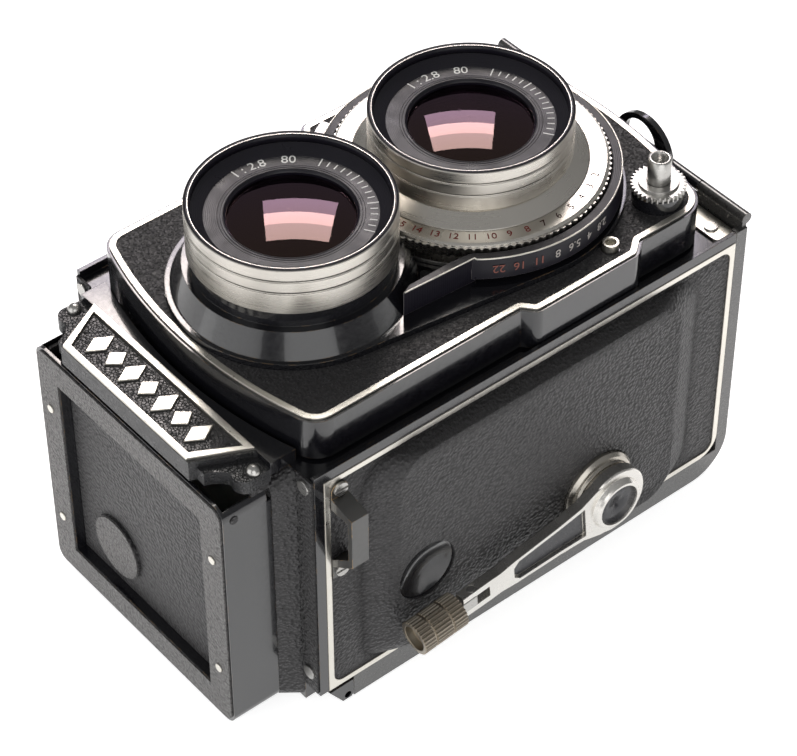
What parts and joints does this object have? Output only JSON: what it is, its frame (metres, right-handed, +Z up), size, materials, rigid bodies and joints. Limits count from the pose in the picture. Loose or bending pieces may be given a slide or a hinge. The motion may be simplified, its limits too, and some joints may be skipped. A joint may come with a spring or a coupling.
{
  "type": "twin lens reflex camera",
  "caption": "Roll film camera with one lens above the other, folding waist-level hood, side winding crank and hinged back.",
  "frame": {"origin": "mouth of the tripod socket in the bottom cover, on the middle plane between the sides", "axes": "+Z up towards the finder hood, -Y the way the lenses look, -X the winding crank's side"},
  "size_m": [0.1011, 0.0995, 0.1325],
  "materials": {
    "enamel": "black gloss enamel",
    "grey_enamel": "dark grey gloss enamel",
    "leather": "coarse pebbled black leather",
    "bright_trim": "satin bright trim",
    "nickel": "turned satin nickel",
    "steel": "machined steel",
    "crackle": "black crackle paint",
    "inner_black": "matt black inside paint",
    "worn_black": "black paint worn to brass on its edges",
    "lens_glass": "coated optical glass",
    "ground_glass": "ground focusing glass",
    "silvering": "front silvered mirror",
    "black_ring": "black anodised with engraved figures",
    "spool_plastic": "moulded black spool",
    "foot_rubber": "matt rubber",
    "brass": "turned brass"
  },
  "bodies": {
    "root": {"body_shell": "enamel", "body_trim": "bright_trim", "body_leather": "leather", "hood_base": "leather", "front_cowl": "enamel", "nameplate": "crackle", "focusing_screen": "ground_glass", "reflex_mirror": "silvering", "film_chamber": "inner_black", "crank_flange": "nickel", "strap_lugs": "worn_black", "body_screws": "steel", "catch_plate": "bright_trim"},
    "front_standard": {"front_panel": "enamel", "front_trim": "bright_trim", "front_leather": "leather", "lens_housing": "enamel", "viewing_barrel": "nickel", "taking_barrel": "nickel", "name_rings": "black_ring", "viewing_lens": "lens_glass", "taking_lens": "lens_glass", "shutter_case": "nickel", "scale_band": "black_ring"},
    "speed_ring": {"speed_ring": "nickel"},
    "aperture_lever": {"aperture_lever": "steel"},
    "release_button": {"release_button": "steel"},
    "release_lock": {"release_lock": "steel"},
    "focus_knob": {"focus_knob": "nickel"},
    "crank": {"crank_arm": "bright_trim"},
    "crank_handle": {"handle_fork": "steel"},
    "crank_grip": {"crank_grip": "nickel"},
    "idler_gear": {"idler_gear": "brass"},
    "take_up": {"take_up_spool": "spool_plastic", "spool_gear": "steel"},
    "supply_spool": {"supply_spool": "spool_plastic"},
    "lower_roller": {"lower_film_roller": "steel"},
    "upper_roller": {"upper_film_roller": "steel"},
    "take_up_knob": {"take_up_knob": "nickel"},
    "supply_knob": {"supply_knob": "nickel"},
    "back": {"back_cover": "grey_enamel", "bottom_cover": "grey_enamel", "back_leather": "leather", "tripod_socket": "steel", "feet": "foot_rubber", "pressure_plate": "inner_black"},
    "back_latch": {"latch_bar": "enamel"},
    "lid": {"hood_lid": "enamel", "lid_leather": "leather", "finder_flap": "leather"},
    "magnifier": {"magnifier_frame": "inner_black", "magnifier_lens": "lens_glass"},
    "left_flap": {"left_flap": "inner_black"},
    "right_flap": {"right_flap": "inner_black"},
    "rear_flap": {"rear_flap": "inner_black"},
    "iris_1": {"iris_blade_1": "steel"},
    "iris_2": {"iris_blade_2": "steel"},
    "iris_3": {"iris_blade_3": "steel"},
    "iris_4": {"iris_blade_4": "steel"},
    "iris_5": {"iris_blade_5": "steel"}
  },
  "joints": [
    {"name": "focus_turn", "type": "hinge", "parent": "root", "child": "focus_knob", "pos_m": [0.045, 0.006, 0.052], "axis": [1, 0, 0], "range_deg": [0, 250]},
    {"name": "front_slide", "type": "slide", "parent": "root", "child": "front_standard", "axis": [0, -1, 0], "range_m": [0, 0.00698]},
    {"name": "speed_turn", "type": "hinge", "parent": "front_standard", "child": "speed_ring", "pos_m": [0, -0.0505, 0.0424], "axis": [0, 1, 0], "range_deg": [0, 100]},
    {"name": "aperture_turn", "type": "hinge", "parent": "front_standard", "child": "aperture_lever", "pos_m": [0, -0.0452, 0.0424], "axis": [0, 1, 0], "range_deg": [0, 46.7]},
    {"name": "iris_1_pivot", "type": "hinge", "parent": "front_standard", "child": "iris_1", "pos_m": [0.0167, -0.047, 0.0424], "axis": [0, -1, 0], "range_deg": [0, 35.1]},
    {"name": "iris_2_pivot", "type": "hinge", "parent": "front_standard", "child": "iris_2", "pos_m": [0.00516, -0.047, 0.05828], "axis": [0, -1, 0], "range_deg": [0, 35.1]},
    {"name": "iris_3_pivot", "type": "hinge", "parent": "front_standard", "child": "iris_3", "pos_m": [-0.01351, -0.047, 0.05222], "axis": [0, -1, 0], "range_deg": [0, 35.1]},
    {"name": "iris_4_pivot", "type": "hinge", "parent": "front_standard", "child": "iris_4", "pos_m": [-0.01351, -0.047, 0.03258], "axis": [0, -1, 0], "range_deg": [0, 35.1]},
    {"name": "iris_5_pivot", "type": "hinge", "parent": "front_standard", "child": "iris_5", "pos_m": [0.00516, -0.047, 0.02652], "axis": [0, -1, 0], "range_deg": [0, 35.1]},
    {"name": "release_press", "type": "slide", "parent": "front_standard", "child": "release_button", "axis": [0, 1, 0], "range_m": [0, 0.0025]},
    {"name": "release_lock_turn", "type": "hinge", "parent": "front_standard", "child": "release_lock", "pos_m": [-0.0274, -0.047, 0.0155], "axis": [0, 1, 0], "range_deg": [0, 60]},
    {"name": "crank_turn", "type": "hinge", "parent": "root", "child": "crank", "pos_m": [-0.042, 0.012, 0.0422], "axis": [1, 0, 0], "continuous": true},
    {"name": "handle_fold", "type": "hinge", "parent": "crank", "child": "crank_handle", "pos_m": [-0.0466, 0.0157, 0.08062], "axis": [0, -0.9954, 0.0958], "range_deg": [0, 90]},
    {"name": "grip_spin", "type": "hinge", "parent": "crank_handle", "child": "crank_grip", "pos_m": [-0.0466, 0.0157, 0.08062], "axis": [0, 0.0958, 0.9954], "continuous": true},
    {"name": "idler_turn", "type": "hinge", "parent": "root", "child": "idler_gear", "pos_m": [-0.037, 0.00785, 0.0664], "axis": [1, 0, 0], "continuous": true},
    {"name": "take_up_turn", "type": "hinge", "parent": "root", "child": "take_up", "pos_m": [0, 0.017, 0.0848], "axis": [1, 0, 0], "continuous": true},
    {"name": "supply_turn", "type": "hinge", "parent": "root", "child": "supply_spool", "pos_m": [0, -0.018, 0.0146], "axis": [1, 0, 0], "continuous": true},
    {"name": "lower_roller_turn", "type": "hinge", "parent": "root", "child": "lower_roller", "pos_m": [0, 0.0276, 0.0108], "axis": [1, 0, 0], "continuous": true},
    {"name": "upper_roller_turn", "type": "hinge", "parent": "root", "child": "upper_roller", "pos_m": [0, 0.0276, 0.0736], "axis": [1, 0, 0], "continuous": true},
    {"name": "take_up_knob_pull", "type": "slide", "parent": "root", "child": "take_up_knob", "axis": [1, 0, 0], "range_m": [0, 0.005]},
    {"name": "supply_knob_pull", "type": "slide", "parent": "root", "child": "supply_knob", "axis": [1, 0, 0], "range_m": [0, 0.005]},
    {"name": "back_open", "type": "hinge", "parent": "root", "child": "back", "pos_m": [0, 0.0332, 0.107], "axis": [1, 0, 0], "range_deg": [0, 100]},
    {"name": "latch_turn", "type": "hinge", "parent": "back", "child": "back_latch", "pos_m": [0, -0.0366, 0], "axis": [1, 0, 0], "range_deg": [0, 90]},
    {"name": "lid_open", "type": "hinge", "parent": "root", "child": "lid", "pos_m": [0, -0.0264, 0.1276], "axis": [1, 0, 0], "range_deg": [0, 90]},
    {"name": "magnifier_swing", "type": "hinge", "parent": "lid", "child": "magnifier", "pos_m": [0, 0.0036, 0.1244], "axis": [1, 0, 0], "range_deg": [-90, 0]},
    {"name": "left_flap_rise", "type": "hinge", "parent": "root", "child": "left_flap", "pos_m": [-0.029, 0, 0.1196], "axis": [0, -1, 0], "range_deg": [0, 90]},
    {"name": "right_flap_rise", "type": "hinge", "parent": "root", "child": "right_flap", "pos_m": [0.029, 0, 0.1196], "axis": [0, 1, 0], "range_deg": [0, 90]},
    {"name": "rear_flap_rise", "type": "hinge", "parent": "root", "child": "rear_flap", "pos_m": [0, 0.0303, 0.1196], "axis": [-1, 0, 0], "range_deg": [0, 90]}
  ],
  "couplings": [
    {"joint": "focus_turn", "follows": "front_slide", "rad_per_m": 625},
    {"joint": "iris_1_pivot", "follows": "aperture_turn", "ratio": 0.75},
    {"joint": "iris_2_pivot", "follows": "aperture_turn", "ratio": 0.75},
    {"joint": "iris_3_pivot", "follows": "aperture_turn", "ratio": 0.75},
    {"joint": "iris_4_pivot", "follows": "aperture_turn", "ratio": 0.75},
    {"joint": "iris_5_pivot", "follows": "aperture_turn", "ratio": 0.75},
    {"joint": "idler_turn", "follows": "crank_turn", "ratio": -0.96},
    {"joint": "take_up_turn", "follows": "crank_turn", "ratio": 1.5},
    {"joint": "supply_turn", "follows": "crank_turn", "ratio": 1.5},
    {"joint": "lower_roller_turn", "follows": "crank_turn", "ratio": 3.1731},
    {"joint": "upper_roller_turn", "follows": "crank_turn", "ratio": 3.1731},
    {"joint": "magnifier_swing", "follows": "lid_open", "ratio": -1},
    {"joint": "left_flap_rise", "follows": "lid_open", "ratio": 1},
    {"joint": "right_flap_rise", "follows": "lid_open", "ratio": 1},
    {"joint": "rear_flap_rise", "follows": "lid_open", "ratio": 1}
  ]
}
